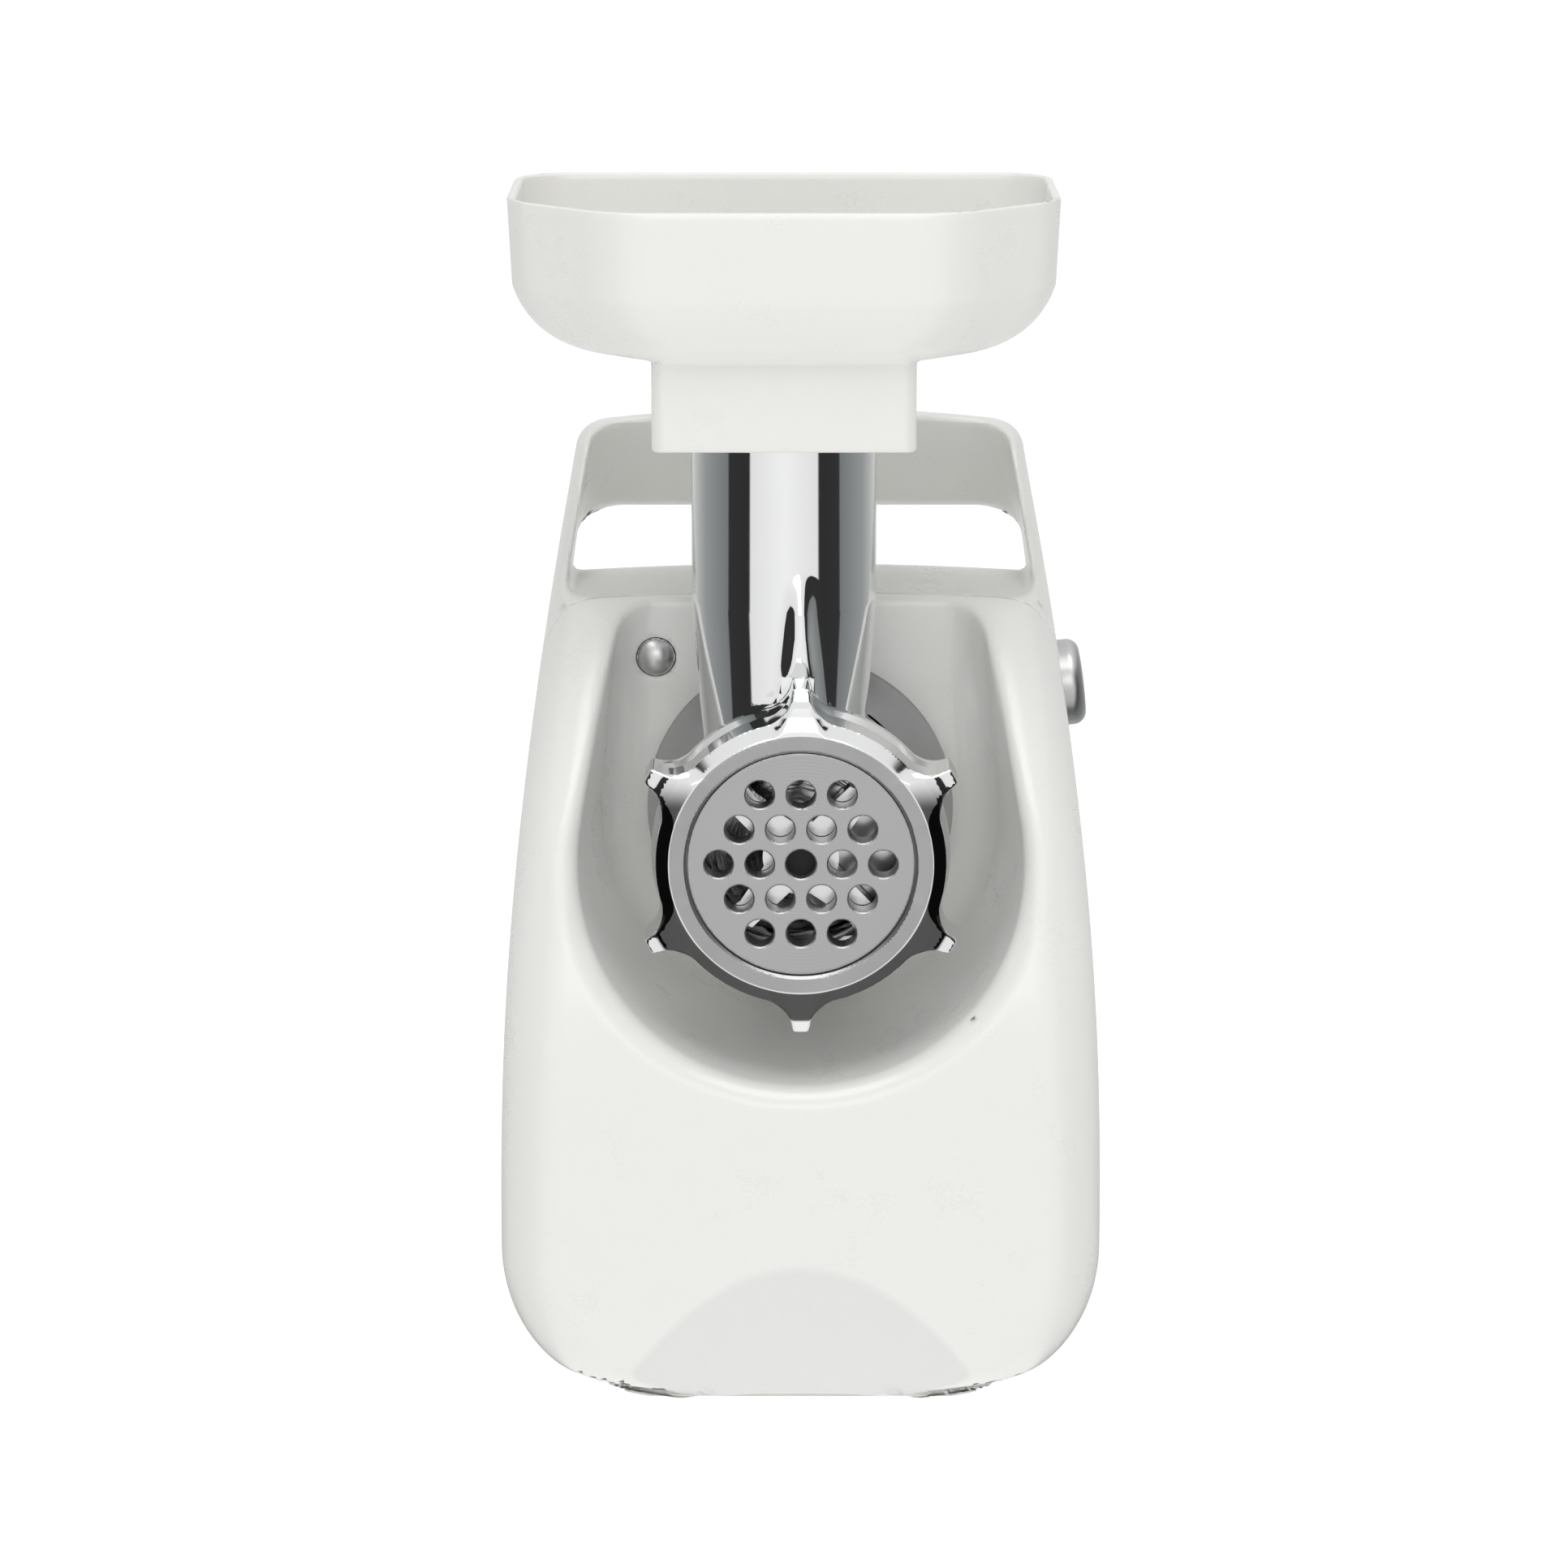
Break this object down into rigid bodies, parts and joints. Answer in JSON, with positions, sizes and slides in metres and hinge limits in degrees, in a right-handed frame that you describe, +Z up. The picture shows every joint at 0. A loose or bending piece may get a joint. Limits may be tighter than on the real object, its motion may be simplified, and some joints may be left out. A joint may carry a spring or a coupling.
{
  "type": "electric meat grinder",
  "caption": "Tabletop electric meat grinder: upright plastic body with carrying handle, front mincing head with lugged ring nut and perforated plate, feed tube and tray.",
  "frame": {"origin": "on the table under the middle of the body", "axes": "+X to the viewer's right facing the mouth, +Y from the mouth to the back, +Z up"},
  "size_m": [0.152, 0.182, 0.3045],
  "materials": {
    "shell_plastic": "gloss moulded",
    "tray_plastic": "gloss moulded",
    "base_plastic": "fine texture",
    "foot_rubber": "matt",
    "screw_steel": "zinc plated",
    "cast_alloy": "as cast",
    "polished_alloy": "mirror polished",
    "nut_alloy": "satin face, polished sides",
    "plate_steel": "ground flat",
    "cutter_steel": "ground",
    "shaft_steel": "turned",
    "bearing_bronze": "sintered",
    "core_iron": "stamped stack",
    "copper_wire": "enamelled",
    "gear_nylon": "moulded",
    "black_plastic": "moulded",
    "carbon": "pressed",
    "terminal_plastic": "moulded",
    "capacitor_film": "dipped",
    "control_silver": "satin"
  },
  "bodies": {
    "housing": {"front_housing": "shell_plastic", "rear_housing": "shell_plastic", "base_plate": "base_plastic", "rubber_feet": "foot_rubber", "base_screws": "screw_steel", "housing_screws": "screw_steel", "cord_inlet": "black_plastic", "socket_ring": "cast_alloy", "gearbox_cover": "cast_alloy", "gearbox_case": "cast_alloy", "gearbox_screws": "screw_steel", "drive_bushing": "bearing_bronze", "middle_pin": "shaft_steel", "stator_core": "core_iron", "field_coils": "copper_wire", "front_bracket": "cast_alloy", "rear_bracket": "cast_alloy", "motor_bearings": "bearing_bronze", "motor_bolts": "screw_steel", "brush_holders": "bearing_bronze", "carbon_brushes": "carbon", "switch_block": "black_plastic", "terminal_block": "terminal_plastic", "filter_capacitor": "capacitor_film"},
    "auger_drive": {"output_gear": "gear_nylon", "output_shaft": "shaft_steel", "auger": "cast_alloy", "knife": "cutter_steel"},
    "middle_gears": {"middle_gear": "gear_nylon", "middle_pinion": "shaft_steel"},
    "rotor": {"motor_shaft": "shaft_steel", "motor_pinion": "shaft_steel", "armature_core": "core_iron", "armature_winding": "copper_wire", "commutator": "copper_wire", "cooling_fan": "black_plastic"},
    "head": {"barrel": "polished_alloy"},
    "plate": {"grinding_plate": "plate_steel"},
    "nut": {"ring_nut": "nut_alloy"},
    "tray": {"tray": "tray_plastic"},
    "lock": {"lock_button": "control_silver", "lock_latch": "shaft_steel", "button_spring": "shaft_steel"},
    "switch": {"switch_knob": "control_silver", "knob_spindle": "shaft_steel"}
  },
  "joints": [
    {"name": "rotor_spin", "type": "hinge", "parent": "housing", "child": "rotor", "pos_m": [0, 0, 0.071], "axis": [0, 1, 0], "continuous": true},
    {"name": "middle_spin", "type": "hinge", "parent": "housing", "child": "middle_gears", "pos_m": [0.00984, 0, 0.09807], "axis": [0, 1, 0], "continuous": true},
    {"name": "auger_spin", "type": "hinge", "parent": "housing", "child": "auger_drive", "pos_m": [0, 0, 0.143], "axis": [0, 1, 0], "continuous": true},
    {"name": "head_twist", "type": "hinge", "parent": "housing", "child": "head", "pos_m": [0, 0, 0.143], "axis": [0, 1, 0], "range_deg": [0, 20]},
    {"name": "plate_slide", "type": "slide", "parent": "head", "child": "plate", "axis": [0, -1, 0], "range_m": [0, 0.0141]},
    {"name": "nut_turn", "type": "hinge", "parent": "plate", "child": "nut", "pos_m": [0, -0.09, 0.143], "axis": [0, -1, 0], "range_deg": [0, 1440]},
    {"name": "tray_lift", "type": "slide", "parent": "head", "child": "tray", "axis": [0, 0, 1], "range_m": [0, 0.06]},
    {"name": "lock_press", "type": "slide", "parent": "housing", "child": "lock", "axis": [0, 1, 0], "range_m": [0, 0.004], "stiffness_N_per_m": 500, "springref_m": -0.002, "deforming": ["button_spring"]},
    {"name": "switch_turn", "type": "hinge", "parent": "housing", "child": "switch", "pos_m": [0.06824, -0.004, 0.171], "axis": [0.9924, 0, 0.1231], "range_deg": [-45, 45]}
  ],
  "couplings": [
    {"joint": "middle_spin", "follows": "rotor_spin", "ratio": -0.14286},
    {"joint": "auger_spin", "follows": "rotor_spin", "ratio": 0.015873},
    {"joint": "plate_slide", "follows": "nut_turn", "m_per_rad": 0.00055704}
  ]
}
